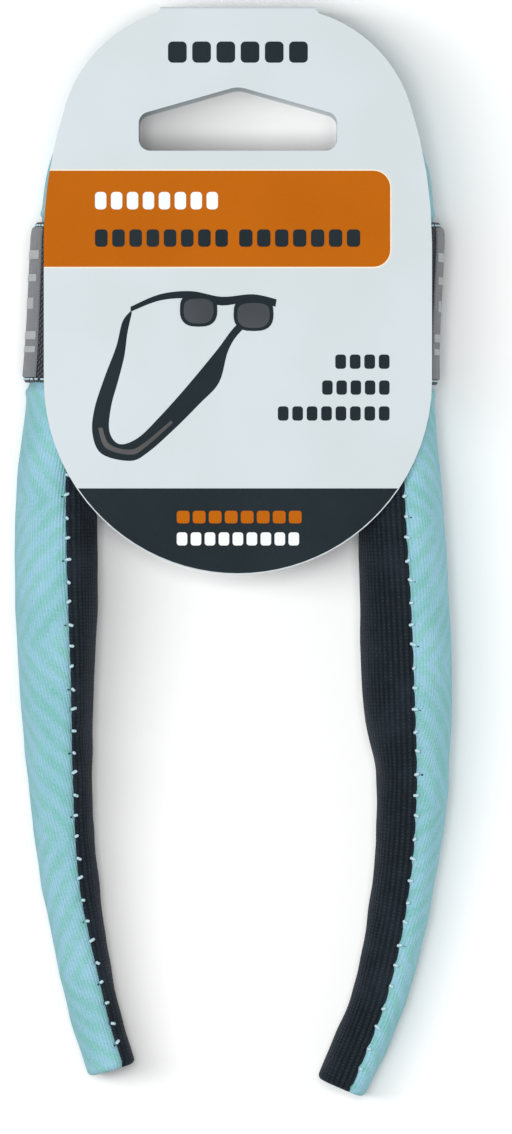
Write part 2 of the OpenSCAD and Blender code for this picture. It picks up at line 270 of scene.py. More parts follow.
def shell_piece(name, skin, top, bottom, material, flip):
    """A closed shell between two heights over a skin, with rounded long edges."""
    outer, inner = skin.raised(top), skin.raised(bottom)
    rows, columns = skin.round.shape
    edge = 0.25 * np.linalg.norm(outer[:, 0] - inner[:, 0], axis=1)[:, None]
    first = (outer[:, 0] + inner[:, 0]) / 2 - unit(outer[:, 1] - outer[:, 0]) * edge
    last = (outer[:, -1] + inner[:, -1]) / 2 + unit(outer[:, -1] - outer[:, -2]) * edge
    ring = np.concatenate([outer, last[:, None], inner[:, ::-1], first[:, None]], axis=1)
    n = ring.shape[1]
    across = np.concatenate(
        [skin.round, skin.round[:, -1:] + edge, skin.round[:, ::-1], skin.round[:, :1] - edge], axis=1
    )
    along = np.broadcast_to(skin.s[:, None], across.shape)
    printed = np.broadcast_to(print_place(skin.arm, skin.s)[:, None], across.shape)
    maps = {
        "cloth": np.stack([along, across], axis=-1).reshape(-1, 2),
        "print": np.stack([printed, across], axis=-1).reshape(-1, 2),
    }
    i, j = np.meshgrid(np.arange(rows - 1), np.arange(n), indexing="ij")
    k = (j + 1) % n
    walls = np.stack([i * n + j, (i + 1) * n + j, (i + 1) * n + k, i * n + k], axis=-1).reshape(-1, 4)
    caps = []
    for start, turn in ((0, 1), ((rows - 1) * n, -1)):
        for c in range(columns - 1):
            quad = [start + c, start + c + 1, start + 2 * columns - 1 - c, start + 2 * columns - c]
            caps.append(quad[::turn])
        caps.append([start + columns - 1, start + columns, start + columns + 1][::turn])
        caps.append([start + 2 * columns, start + 2 * columns + 1, start][::turn])
    faces = [f[::-1] if flip else f for f in [*walls.tolist(), *caps]]
    return mesh_piece(name, ring.reshape(-1, 3), faces, material, maps)


def tubes_piece(name, paths, radius, material, sides=6):
    """One mesh of separate closed tubes with round ends, one for each path of points."""
    points, faces = [], []
    for path in paths:
        path = np.asarray(path, float)
        along = unit(np.gradient(path, axis=0))
        tip, tail = path[0] - along[0] * radius * 0.5, path[-1] + along[-1] * radius * 0.5
        span = np.concatenate([[tip], path, [tail]])
        along = unit(np.gradient(span, axis=0))
        radii = [0.45 * radius, *[radius] * len(path), 0.45 * radius]
        start = len(points)
        for centre, direction, r in zip(span, along, radii):
            side = unit(np.cross(direction, [0.3, 0.2, 0.9]))
            other = np.cross(direction, side)
            for corner in range(sides):
                turn = 2 * math.pi * corner / sides
                points.append(centre + r * (math.cos(turn) * side + math.sin(turn) * other))
        for row in range(len(span) - 1):
            for corner in range(sides):
                a, b = start + row * sides + corner, start + row * sides + (corner + 1) % sides
                faces.append([a, b, b + sides, a + sides])
        faces.append([start + corner for corner in reversed(range(sides))])
        faces.append([start + (len(span) - 1) * sides + corner for corner in range(sides)])
    return mesh_piece(name, points, faces, material)


def plate_piece(name, outline, low, high, material):
    """A flat plate with that outline between two heights."""
    curve = bpy.data.curves.new(name, "CURVE")
    curve.dimensions = "2D"
    curve.fill_mode = "BOTH"
    spline = curve.splines.new("POLY")
    spline.points.add(len(outline) - 1)
    spline.points.foreach_set("co", [c for x, y in outline for c in (x * MM, y * MM, 0, 1)])
    spline.use_cyclic_u = True
    curve.extrude = (high - low) / 2 * MM
    shape = bpy.data.objects.new(name, curve)
    bpy.context.scene.collection.objects.link(shape)
    mesh = bpy.data.meshes.new_from_object(shape.evaluated_get(bpy.context.evaluated_depsgraph_get()))
    bpy.data.objects.remove(shape)
    mesh.transform(Matrix.Translation((0, 0, (low + high) / 2 * MM)))
    mesh.materials.clear()
    mesh.materials.append(material)
    return link(name, mesh)


# ---- Materials ----


def srgb(*levels):
    """Linear colour of an 8-bit sRGB one."""
    linear = [((c / 255 + 0.055) / 1.055) ** 2.4 if c > 10 else c / 255 / 12.92 for c in levels]
    return (*linear, 1.0)


class Shader:
    """A material's node tree, with short calls for the nodes that this scene uses."""

    def __init__(self, name, roughness, sheen=0.0, sheen_tint=(1, 1, 1, 1), specular=0.5):
        self.material = bpy.data.materials.new(name)
        self.material.use_nodes = True
        self.tree = self.material.node_tree
        self.surface = self.tree.nodes["Principled BSDF"]
        self.surface.inputs["Roughness"].default_value = roughness
        self.surface.inputs["Sheen Weight"].default_value = sheen
        self.surface.inputs["Sheen Tint"].default_value = sheen_tint
        self.surface.inputs["Specular IOR Level"].default_value = specular

    def node(self, kind, inputs=(), **settings):
        made = self.tree.nodes.new(kind)
        for key, value in settings.items():
            setattr(made, key, value)
        for key, value in dict(inputs).items():
            if isinstance(value, bpy.types.NodeSocket):
                self.tree.links.new(value, made.inputs[key])
            else:
                made.inputs[key].default_value = value
        return made

    def math(self, operation, a, b=0.0):
        return self.node("ShaderNodeMath", {0: a, 1: b}, operation=operation).outputs[0]

    def ramp(self, value, low, high, to_low=0.0, to_high=1.0):
        """Smooth step of a value from low to high, as numbers from to_low to to_high."""
        inputs = {"Value": value, "From Min": low, "From Max": high, "To Min": to_low, "To Max": to_high}
        return self.node("ShaderNodeMapRange", inputs, interpolation_type="SMOOTHSTEP").outputs[0]

    def mix(self, share, a, b):
        return self.node("ShaderNodeMix", {0: share, 6: a, 7: b}, data_type="RGBA").outputs[2]

    def noise(self, vector, scale, detail=2.0):
        inputs = {"Vector": vector, "Scale": scale, "Detail": detail}
        return self.node("ShaderNodeTexNoise", inputs).outputs["Fac"]

    def wave(self, value, pitch):
        """A sine of that pitch, from -1 to 1."""
        return self.math("SINE", self.math("MULTIPLY", value, 2 * math.pi / pitch))

    def cloth(self):
        """Distance along, distance round, and both as a vector, in millimetres, from a cloth map."""
        uv = self.node("ShaderNodeUVMap", uv_map="cloth").outputs[0]
        parts = self.node("ShaderNodeSeparateXYZ", {0: uv}).outputs
        return parts[0], parts[1], uv

    def place(self):
        """The point in millimetres."""
        here = self.node("ShaderNodeTexCoord").outputs["Object"]
        return self.node("ShaderNodeVectorMath", {0: here, "Scale": 1 / MM}, operation="SCALE").outputs[0]

    def bump(self, height, distance, strength=1.0):
        inputs = {"Height": height, "Distance": distance * MM, "Strength": strength}
        normal = self.node("ShaderNodeBump", inputs).outputs[0]
        self.tree.links.new(normal, self.surface.inputs["Normal"])

    def colour(self, value):
        self.tree.links.new(value, self.surface.inputs["Base Color"])

    def roughness(self, value):
        self.tree.links.new(value, self.surface.inputs["Roughness"])


def aqua_print():
    """Sky-blue ribbed knit with a soft zigzag print in green-aqua, and painted shade in the grooves between
    its ribs.
    """
    pitch, rib, loop = 3.9, 0.5, 0.45
    shader = Shader("aqua_print", 0.9, sheen=0.12, sheen_tint=srgb(225, 245, 250), specular=0.15)
    along, across, both = shader.cloth()
    waver = shader.math("MULTIPLY", shader.math("SUBTRACT", shader.noise(both, 0.5, 5.0), 0.5), 2.6)
    place = shader.node("ShaderNodeUVMap", uv_map="print").outputs[0]
    place = shader.node("ShaderNodeSeparateXYZ", {0: place}).outputs[0]
    # Twenty turns more keep the place positive, where PINGPONG repeats evenly.
    zigzag = shader.math("PINGPONG", shader.math("ADD", place, 20 * ZIGZAG), ZIGZAG)
    phase = shader.math("ADD", shader.math("ADD", zigzag, across), waver)
    stripe = shader.ramp(shader.wave(phase, pitch), -1.0, 1.0)
    ribs = shader.wave(across, rib)
    loops = shader.wave(shader.math("ADD", along, shader.math("MULTIPLY", ribs, 0.12)), loop)
    fibre = shader.noise(both, 5.0, 3.0)
    blotch = shader.noise(both, 0.12)
    base = shader.mix(shader.ramp(blotch, 0.35, 0.65), srgb(143, 194, 207), srgb(152, 198, 217))
    print_colour = shader.mix(shader.ramp(blotch, 0.35, 0.65), srgb(122, 187, 180), srgb(132, 195, 186))
    worn = shader.ramp(shader.noise(both, 0.3), 0.3, 0.6, 0.45, 1.0)
    strength = shader.math("MULTIPLY", shader.ramp(fibre, 0.25, 0.75, 0.6, 1.0), worn)
    colour = shader.mix(shader.math("MULTIPLY", stripe, strength), base, print_colour)
    heather = shader.noise(both, 2.6, 4.0)
    colour = shader.mix(shader.ramp(heather, 0.5, 0.75, 0.0, 0.45), colour, srgb(172, 212, 226))
    colour = shader.mix(shader.ramp(heather, 0.46, 0.26, 0.0, 0.5), colour, srgb(104, 172, 172))
    # The grooves between the ribs are painted a darker aqua: painted shade where the ribs dip.
    groove_shade = shader.ramp(ribs, -1.0, 0.2, 0.2, 0.0)
    shader.colour(shader.mix(groove_shade, colour, srgb(90, 148, 162)))
    height = shader.math("ADD", shader.math("MULTIPLY", ribs, 0.6), shader.math("MULTIPLY", loops, 0.25))
    height = shader.math("ADD", height, shader.math("MULTIPLY", fibre, 0.8))
    shader.roughness(shader.ramp(fibre, 0.2, 0.8, 0.95, 0.78))
    shader.bump(height, 0.07, 0.8)
    return shader.material


def black_rib():
    """Navy-black knit with ribs along the strap, painted lighter on its raised ribs and loops and darker in
    the grooves between them.
    """
    rib, loop = 0.9, 0.55
    shader = Shader("black_rib", 0.85, sheen=0.1, sheen_tint=srgb(150, 165, 185), specular=0.15)
    along, across, both = shader.cloth()
    ribs = shader.wave(across, rib)
    loops = shader.wave(shader.math("ADD", along, shader.math("MULTIPLY", ribs, 0.1)), loop)
    fibre = shader.noise(both, 4.0, 3.0)
    blotch = shader.noise(both, 0.15)
    # Raised ribs and loops are painted lighter and the grooves between them darker: painted light and shade,
    # with the loops' part only in random patches.
    patch = shader.ramp(shader.noise(both, 0.9, 3.0), 0.38, 0.62, 0.15, 1.0)
    lit_loop_patches = shader.math("MULTIPLY", shader.ramp(loops, -0.2, 0.7), patch)
    knit_light_and_shade = shader.math("MULTIPLY", shader.ramp(ribs, -0.9, 0.5), shader.ramp(lit_loop_patches, 0.0, 1.0, 0.35, 1.0))
    share = shader.math("MULTIPLY", knit_light_and_shade, shader.ramp(fibre, 0.2, 0.8, 0.4, 1.0))
    colour = shader.mix(share, srgb(15, 22, 28), srgb(44, 55, 64))
    shader.colour(shader.mix(shader.ramp(blotch, 0.4, 0.7, 0.0, 0.25), colour, srgb(48, 57, 68)))
    height = shader.math("ADD", shader.math("MULTIPLY", ribs, 0.5), shader.math("MULTIPLY", loops, 0.5))
    height = shader.math("ADD", height, shader.math("MULTIPLY", fibre, 0.6))
    shader.roughness(shader.ramp(fibre, 0.2, 0.8, 0.95, 0.78))
    shader.bump(height, 0.08, 0.9)
    return shader.material


def thread():
    """Pale twisted sewing thread."""
    shader = Shader("seam_thread", 0.6, sheen=0.3, specular=0.4)
    place = shader.place()
    fibre = shader.noise(place, 9.0, 2.0)
    shader.colour(shader.mix(fibre, srgb(150, 200, 212), srgb(216, 236, 242)))
    shader.roughness(shader.ramp(fibre, 0.3, 0.7, 0.5, 0.75))
    shader.bump(fibre, 0.08)
    return shader.material


def twill(name, dark, light, step, roughness, depth):
    """Woven tape with a fine diagonal."""
    shader = Shader(name, roughness, sheen=0.2, specular=0.3)
    along, across, both = shader.cloth()
    diagonal = shader.wave(shader.math("ADD", along, across), step)
    warp = shader.wave(across, step / 2)
    fibre = shader.noise(both, 6.0, 3.0)
    share = shader.math("MULTIPLY", shader.ramp(diagonal, -0.7, 0.7), shader.ramp(fibre, 0.2, 0.8, 0.5, 1.0))
    shader.colour(shader.mix(share, dark, light))
    height = shader.math("ADD", diagonal, shader.math("MULTIPLY", warp, 0.5))
    shader.roughness(shader.ramp(fibre, 0.2, 0.8, roughness + 0.08, roughness - 0.1))
    shader.bump(shader.math("ADD", height, fibre), depth)
    return shader.material


def board(name, colour, worn, roughness=0.6):
    """Coated card or ink on it: faint fibres under a dull satin face, slightly worn."""
    shader = Shader(name, roughness, specular=0.06)
    place = shader.place()
    fibre = shader.noise(place, 3.0, 4.0)
    cloud = shader.noise(place, 0.06, 2.0)
    tone = shader.mix(shader.ramp(cloud, 0.3, 0.7), colour, worn)
    shader.colour(shader.mix(shader.ramp(fibre, 0.45, 0.8, 0.0, 0.12), tone, worn))
    shader.roughness(shader.ramp(fibre, 0.3, 0.7, roughness - 0.04, roughness + 0.06))
    shader.bump(fibre, 0.012, 0.6)
    return shader.material


def foam():
    """Closed-cell foam, which only shows up inside a sleeve."""
    shader = Shader("foam_cells", 0.9, specular=0.2)
    place = shader.place()
    cells = shader.node("ShaderNodeTexVoronoi", {"Vector": place, "Scale": 1.6}).outputs["Distance"]
    shader.colour(shader.mix(cells, srgb(224, 222, 212), srgb(246, 244, 236)))
    shader.roughness(shader.ramp(cells, 0.0, 0.6, 0.95, 0.8))
    shader.bump(cells, 0.15)
    return shader.material


AQUA = aqua_print()
BLACK = black_rib()
THREAD = thread()
BAND = twill("navy_tape", srgb(20, 26, 34), srgb(44, 54, 66), 0.9, 0.85, 0.1)
LABEL = twill("grey_label", srgb(106, 109, 114), srgb(128, 131, 136), 0.5, 0.7, 0.04)
LABEL_MARK = twill("label_marks", srgb(164, 168, 170), srgb(188, 192, 194), 0.5, 0.7, 0.04)
# Dark teal marks for the needle holes: painted shade standing in for the inside of each hole.
HOLE_SHADE = board("needle_hole_shade", srgb(44, 78, 88), srgb(34, 62, 72), 0.9)
CARD = board("card_board", srgb(200, 209, 212), srgb(204, 213, 217))
ORANGE = board("orange_ink", srgb(183, 96, 0), srgb(178, 93, 0))
CHARCOAL = board("charcoal_ink", srgb(28, 38, 43), srgb(33, 43, 48))
WHITE_INK = board("white_ink", srgb(236, 238, 238), srgb(230, 233, 234))
CREAM_INK = board("cream_ink", srgb(236, 226, 206), srgb(230, 220, 200))
LENS_INK = board("lens_ink", srgb(62, 66, 70), srgb(80, 84, 88))
GREY_INK = board("grey_ink", srgb(72, 72, 72), srgb(92, 92, 92))
FOAM = foam()


# ---- Fabric strips ----


def near(distance, reach):
    return np.exp(-((distance / reach) ** 2))


def stitch_pull(s):
    """1 at each stitch, and almost 0 half-way between two."""
    return np.exp(3 * (np.cos(2 * np.pi * s / PITCH) - 1))


def strip_relief(arm, skin):
    """How far the fabric stands proud of its plain shape: seam rolls, puckers, gathers and slack."""
    s, across, width = skin.s[:, None], skin.round, skin.width[:, None]
    edge = np.minimum(across, width - across)
    # Each edge rolls down into its seam, more at a stitch, and swells a little beside it.
    relief = -0.45 * near(edge, 0.7) - 0.28 * near(edge, 1.5) * stitch_pull(s)
    relief = relief + 0.12 * near(edge - 2.2, 1.2)
    # The band squeezes the fabric at its edges and gathers it just outside.
    for band_edge, away in ((BAND_FROM, -1.4), (BAND_TO, 1.4)):
        gather = 0.5 + 0.5 * np.cos(2 * np.pi * across / 2.3 + 0.7 * arm.sign)
        relief = relief - near(s - band_edge, 1.2) * (0.3 + 0.25 * gather)
        relief = relief + near(s - band_edge - away, 0.8) * (0.15 + 0.25 * gather)
    # Low ripples grow where there is no foam, and a soft kink marks the foam's end.
    slack = 1 / (1 + np.exp(-(s - arm.foam_s) / 4))
    fade = np.clip((s - APEX) / 12, 0, 1)
    phase = 1.3 * arm.sign
    ripple = (
        np.sin(0.31 * s + 0.22 * across + phase)
        + 0.8 * np.sin(0.53 * s - 0.35 * across + 2.1 * phase)
        + 0.6 * np.sin(0.9 * s + 0.61 * across + 0.4)
    )
    relief = relief + fade * (0.03 + 0.025 * slack) * ripple
    kink = near(s - arm.foam_s, 2.6) * (0.6 + 0.4 * np.cos(0.45 * across + phase))
    relief = relief - 0.45 * kink
    return relief


def end_roll(arm, s):
    """How far the outside of a sleeve rolls in at its turned end."""
    r = FABRIC
    depth = np.clip(r - (arm.length - s), 0, r)
    return r - np.sqrt(r**2 - depth**2)


def rows_between(start, stop, arm):
    """Distances of a strip's rows, closer together where the sleeve's end rolls in."""
    count = int(math.ceil((stop - start) / RING_STEP))
    rows = np.linspace(start, stop, count + 1)
    if stop < arm.length - 0.01:
        return rows
    rolled = stop - FABRIC * np.array([1, 0.7, 0.45, 0.22, 0.08, 0])
    return np.concatenate([rows[rows < stop - FABRIC], rolled])


def strip_piece(name, arm, start, stop, outer):
    """One strip of fabric, the size it was cut to and its flat area, both in metres."""
    from_deg = -90 if outer else 90
    s = rows_between(start, stop, arm)
    trim = 0.12 + (-0.35 if outer else 0.35) * stitch_pull(s)
    skin = Skin(arm, s, from_deg, from_deg + 180, STRIP_COLUMNS, trim=trim)
    roll = end_roll(arm, s)[:, None]
    relief = strip_relief(arm, skin)
    hem = np.clip((s - (arm.length - HEM)) / 0.8 + 0.5, 0, 1)[:, None]
    wall = FABRIC + (HEM_FABRIC - FABRIC) * hem
    material = AQUA if outer else BLACK
    piece = shell_piece(name, skin, relief - roll, relief - wall + roll * 0.8, material, arm.side == "left")
    area = float(np.sum((skin.width[1:] + skin.width[:-1]) / 2 * np.diff(s))) * MM * MM
    flat = (float(skin.width.max()) * MM, float(stop - start) * MM)
    return piece, flat, area


def seam_path(arm, s, seam, reach, lift, slant=0.0):
    """Points over the surface across a seam, from reach[0] to reach[1]: the black side is positive."""
    middle, out, a, b, turn = (x[0] for x in arm.places([s]))
    steps = np.linspace(0, 1, 6)
    centre = (90 if seam == "front" else -90) + turn
    towards_black = SEAMS[seam]
    fine = np.linspace(-60, 60, 241)
    u, v = oval(a, b, centre + fine)
    length = np.concatenate([[0], np.cumsum(np.hypot(np.diff(u), np.diff(v)))])
    length = (length - np.interp(0, fine, length)) * towards_black
    order = np.argsort(length)
    at = reach[0] + (reach[1] - reach[0]) * steps
    row_u, row_v = np.interp(at, length[order], u[order]), np.interp(at, length[order], v[order])
    # The path dips into the seam with the fabric, and rides up over the edges in its middle.
    rise = lift - 0.62 * near(at, 1.1) + 0.30 * near(at, 0.45)
    shift = slant * (steps - 0.5)
    along = arm.places([s + 0.5])[0][0] - arm.places([s - 0.5])[0][0]
    points = middle + np.outer(row_u, out) + np.outer(row_v, UP) + np.outer(shift, along)
    return points + np.outer(rise, SEAMS[seam] * UP)


def seam_stitches(name, arm, seam, start, stop):
    """The overedge thread of one seam: a short slanted bar at each stitch."""
    first, last = math.ceil(start / PITCH), math.floor(stop / PITCH)
    paths = []
    for k in range(first, last + 1):
        wobble = math.sin(2.4 * k + arm.sign)
        reach = (-0.2 + 0.12 * wobble, 0.34 + 0.16 * math.sin(1.7 * k))
        paths.append(seam_path(arm, k * PITCH + 0.2 * wobble, seam, reach, 0.1, 0.3 * wobble))
    return tubes_piece(name, paths, STITCH_R, THREAD)


def needle_hole_shade(name, arm, start, stop):
    """Small dark marks beside the front seam, where the needle went through the aqua strip: painted shade
    standing in for the inside of each hole.
    """
    paths = []
    for k in range(math.ceil(start / PITCH), math.floor(stop / PITCH) + 1):
        # Only about three holes in ten are open enough to be seen.
        if (math.sin(4.1 * k + arm.sign) + 1) / 2 > 0.8:
            path = seam_path(arm, k * PITCH + 0.2, "front", (-0.85, -0.65), -0.02)
            paths.append(path[[0, 3, 5]])
    return tubes_piece(name, paths, NEEDLE_HOLE_R, HOLE_SHADE)


def ride_neck(piece, side):
    """Bakes the piece's place into its mesh."""
    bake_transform(piece)


def ride_arm(piece, side):
    """Bakes the piece's place into its mesh."""
    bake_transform(piece)


def make_strips(side):
    """The fabric and thread of one half: a neck piece and an arm piece, which part under the band."""
    arm = ARMS[side]
    under = BAND_FROM + UNDER_BAND
    spans = (
        ("neck", APEX, under, ride_neck, "neck_foam_core", ["neck_{}_strip"]),
        (
            "arm", under + UNDER_GAP, arm.length, ride_arm, f"{side}_foam_core",
            [side + "_{}_strip", side + "_sleeve_{}_strip"],
        ),
    )
    for layer, slot in (("outer", "aqua_fabric"), ("inner", "black_knit")):
        for part, start, stop, ride, core, nodes in spans:
            name = f"{side}_{part}_{layer}_fabric"
            piece, flat, area = strip_piece(name, arm, start, stop, layer == "outer")
            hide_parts(*[node.format(layer) for node in nodes])
            ride(piece, side)
    for seam in SEAMS:
        neck_thread = seam_stitches(f"{side}_neck_{seam}_thread", arm, seam, APEX + 0.5, BAND_FROM - 0.5)
        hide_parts(f"neck_{seam}_stitches")
        arm_thread = seam_stitches(f"{side}_arm_{seam}_thread", arm, seam, BAND_TO + 0.5, arm.length - 1.5)
        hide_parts(f"{side}_{seam}_stitches", f"{side}_sleeve_{seam}_stitches")
        for piece, ride in ((neck_thread, ride_neck), (arm_thread, ride_arm)):
            ride(piece, side)
    holes = needle_hole_shade(f"{side}_needle_hole_shade", arm, BAND_TO + 1, arm.length - 3)
    ride_arm(holes, side)


# ---- Bands and labels ----


def band_rows(start, stop):
    """Distances of a band's rows, with extra ones where its edges are rounded."""
    ends = np.array([0, 0.1, 0.3, 0.6]) * TAPE_EDGE
    middle = np.arange(start + 1.5 * TAPE_EDGE, stop - TAPE_EDGE, 0.8)
    return np.concatenate([start + ends, middle, stop - ends[::-1]])


def tape_piece(name, arm, start, stop, half_deg, heights, material, columns):
    """Tape round an arm's outer side, to half_deg each way, sagging with the band's middle."""
    low, high = heights
    s = band_rows(start, stop)
    skin = Skin(arm, s, -half_deg, half_deg, columns, lift=low)
    ends = np.minimum(s - start, stop - s)[:, None]
    rounding = 0.45 * (high - low) * np.clip(1 - ends / 0.3, 0, 1) ** 2
    weave = 0.03 * np.sin(2 * np.pi * skin.round / 1.9)
    sag = BAND_SAG * np.sin(np.pi * (s - BAND_FROM) / (BAND_TO - BAND_FROM))[:, None]
    top = (high - low) - rounding + weave - sag
    return shell_piece(name, skin, top, -sag + rounding, material, arm.side == "left")


def make_band(side):
    """The woven band of one arm, with its label, plain bars in place of lettering, and edge stitching."""
    arm, body = ARMS[side], f"{side}_arm"
    band = tape_piece(f"{side}_woven_band", arm, BAND_FROM, BAND_TO, 179, BAND_HEIGHTS, BAND, 96)
    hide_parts(f"{side}_band")
    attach(band, body)
    ends = BAND_FROM + LABEL_IN, BAND_TO - LABEL_IN
    label = tape_piece(f"{side}_woven_label", arm, *ends, LABEL_HALF_DEG, LABEL_HEIGHTS, LABEL, 40)
    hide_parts(f"{side}_label")
    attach(label, body)
    for number, (start, wide, reach) in enumerate(LABEL_BARS, 1):
        name = f"{side}_label_mark_{number}"
        mark = tape_piece(name, arm, start, start + wide, reach, MARK_HEIGHTS, LABEL_MARK, 32)
        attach(mark, body)
    # A ring of short stitches near each edge: three points in every five of a round of 200.
    paths = []
    for s in (BAND_FROM + BAND_STITCH_IN, BAND_TO - BAND_STITCH_IN):
        ring = Skin(arm, [s], -178, 178, 200, lift=BAND_STITCH_HEIGHT).point[0]
        paths += [ring[i:i + 3] for i in range(2, 196, 5)]
    stitching = tubes_piece(f"{side}_band_stitching", paths, BAND_STITCH_R, THREAD)
    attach(stitching, body)


# ---- Header card ----

CARD_LOW, CARD_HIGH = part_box("card_back")
CARD_HALF_W = CARD_HIGH[0] / MM
CARD_BOTTOM = CARD_LOW[1] / MM
CREASE_Y = CARD_HIGH[1] / MM
SPINE_HALF_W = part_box("card_spine")[1][0] / MM
INK = 0.03
# The round at a panel's upper corner: its centre's x and drop below the crease, radius and start angle.
CORNER_X, CORNER_DROP, CORNER_R, CORNER_FROM = 6.5, 21.7, 22.1, math.radians(18)


def arc(centre, r, start, stop, step=4):
    """Points of an arc, with angles in degrees."""
    count = max(1, math.ceil(abs(stop - start) / step))
    angles = [math.radians(start + (stop - start) * i / count) for i in range(count + 1)]
    return [(centre[0] + r * math.cos(a), centre[1] + r * math.sin(a)) for a in angles]


def rounded_box(x0, y0, x1, y1, r):
    left, right, low, high = x0 + r, x1 - r, y0 + r, y1 - r
    corners = [((right, low), -90), ((right, high), 0), ((left, high), 90), ((left, low), 180)]
    return [p for centre, start in corners for p in arc(centre, r, start, start + 90, 15)]


def card_edge(y):
    """Half width of the card at height y between its top corners and its round bottom."""
    corner_x = CORNER_X + CORNER_R * math.cos(CORNER_FROM)
    corner_y = CREASE_Y - CORNER_DROP + CORNER_R * math.sin(CORNER_FROM)
    side_r = (CARD_HALF_W - corner_x) / (1 - math.cos(CORNER_FROM))
    side_y = corner_y - side_r * math.sin(CORNER_FROM)
    if y <= side_y:
        return CARD_HALF_W
    return CARD_HALF_W - side_r + math.sqrt(side_r**2 - (y - side_y) ** 2)


def ink(name, outline, material, layer):
    """A printed shape: a film on the front panel, each layer over the one before."""
    piece = plate_piece(name, outline, CARD_TOP, CARD_TOP + INK * layer, material)
    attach(piece, "card_front")


def word(name, left, right, middle, height, blocks, material, layer):
    """A row of plain rounded blocks where the card has a word, from x left to right round y middle."""
    gap = 0.26 * height
    wide = (right - left - gap * (blocks - 1)) / blocks
    for k in range(blocks):
        x = left + k * (wide + gap)
        outline = rounded_box(x, middle - height / 2, x + wide, middle + height / 2, 0.22 * height)
        ink(f"{name}_{k + 1}", outline, material, layer)


def smooth_line(points, steps=6):
    """Points on a smooth curve through a few given ones."""
    p = np.array([points[0], *points, points[-1]], float)
    made = []
    for k in range(1, len(p) - 2):
        for t in np.arange(steps) / steps:
            made.append(tuple(
                0.5 * (2 * p[k] + (p[k + 1] - p[k - 1]) * t
                       + (2 * p[k - 1] - 5 * p[k] + 4 * p[k + 1] - p[k + 2]) * t**2
                       + (3 * p[k] - p[k - 1] - 3 * p[k + 1] + p[k + 2]) * t**3)
            ))
    return [*made, tuple(p[-1])]


def band_ink():
    """The orange band, which runs off the card's left edge, on a thin pale outline."""
    top, bottom, right, r = 7.2, -8.2, 24.4, 2.7
    prints = (("band_outline", 0.22, CREAM_INK, 1), ("orange_band", 0.0, ORANGE, 2))
    for name, grow, material, layer in prints:
        edge = [(-card_edge(y), y) for y in np.linspace(top + grow, bottom - grow, 14)]
        corner_r = r + grow
        lower = arc((right + grow - corner_r, bottom - grow + corner_r), corner_r, -90, 0, 10)
        upper = arc((right + grow - corner_r, top + grow - corner_r), corner_r, 0, 90, 10)
        ink(name, [*edge, *lower, *upper], material, layer)


def foot_ink():
    """The charcoal foot of the card, with a thin pale border left round it."""
    top, border = -43.7, 0.16
    r = CARD_HALF_W - border
    centre = (0, CARD_BOTTOM + CARD_HALF_W)
    start = math.degrees(math.asin((top - centre[1]) / r))
    ink("charcoal_foot", arc(centre, r, 180 - start, 360 + start), CHARCOAL, 1)


def lens(centre, wide, high):
    """Outline of a rounded lens, flatter along its top."""
    points = []
    for k in range(28):
        a = 2 * math.pi * k / 28
        x, y = math.cos(a), math.sin(a)
        x = math.copysign(abs(x) ** 0.7, x)
        y = math.copysign(abs(y) ** (0.55 if y > 0 else 0.85), y)
        points.append((centre[0] + x * wide / 2, centre[1] + y * high / 2))
    return points


def picture_ink():
    """A simple drawing of a strap on a pair of sunglasses, printed on the card."""
    outside = smooth_line([
        (-17.1, -15.2), (-18.5, -17), (-19.5, -21), (-21.4, -26), (-23, -31), (-23.3, -35),
        (-21.8, -38.2), (-17.3, -39.3), (-14.5, -38), (-10.3, -34.3), (-6.1, -30.1), (-3, -26.7),
        (-1.5, -21.5), (0.8, -18.2), (5.6, -14.4),
    ])
    inside = smooth_line([
        (5.0, -14.0), (0, -17.3), (-3.4, -21.6), (-8.2, -27.4), (-12.5, -32.2), (-16, -35.6),
        (-19, -36.6), (-20.6, -34.5), (-20.3, -30.5), (-19.2, -26.5), (-18.2, -22.5),
        (-17.7, -18.8), (-17.0, -15.6),
    ])
    ink("picture_strap", [*outside, *inside], CHARCOAL, 1)
    shine = smooth_line([(-22.4, -34), (-21.2, -37.2), (-17.2, -38.3), (-14.8, -37.1), (-10.4, -33.2)])
    shade = smooth_line([(-10.7, -32.8), (-15, -36.4), (-17.4, -37.5), (-20.6, -36.6), (-21.7, -34)])
    ink("picture_strap_shine", [*shine, *shade], GREY_INK, 2)
    top = smooth_line([
        (-17.2, -14.6), (-12.5, -12.6), (-7.5, -12.1), (-2.6, -13.0), (2.4, -12.6), (6.2, -13.4),
    ])
    low = smooth_line([
        (6.0, -14.6), (2.4, -13.7), (-2.6, -14.4), (-7.5, -13.3), (-12.5, -13.6), (-17.2, -15.4),
    ])
    ink("picture_frame", [*top, *low], CHARCOAL, 2)
    rim_high, glass_high, rim_wide, drop = 5.2, 4.0, 0.6, 0.1
    for name, (x, y), wide in (("left", (-6.3, -15.2), 6.0), ("right", (2.5, -15.9), 6.4)):
        ink(f"picture_rim_{name}", lens((x, y), wide, rim_high), CHARCOAL, 3)
        glass = lens((x, y - drop), wide - 2 * rim_wide, glass_high)
        ink(f"picture_lens_{name}", glass, LENS_INK, 4)


def print_card():
    """All the print on the front panel, with a row of plain blocks for each word."""
    band_ink()
    foot_ink()
    picture_ink()
    word("heading", -11.2, 11.2, 26.2, 3.4, 6, CHARCOAL, 1)
    word("white_line", -22.9, -3.2, 2.4, 2.8, 8, WHITE_INK, 3)
    word("dark_line_a", -22.9, -1.6, -3.6, 2.8, 8, CHARCOAL, 3)
    word("dark_line_b", 0.2, 19.6, -3.6, 2.8, 7, CHARCOAL, 3)
    note_top, note_step = -23.4, 4.15
    for k, (left, blocks) in enumerate([(15.6, 4), (13.5, 5), (6.4, 8)]):
        word(f"note_{'abc'[k]}", left, 24.3, note_top - note_step * k, 2.3, blocks, CHARCOAL, 1)
    word("foot_line_a", -9.8, 10.2, -48.3, 2.0, 8, ORANGE, 2)
    word("foot_line_b", -9.8, 9.8, -51.8, 2.1, 9, WHITE_INK, 2)


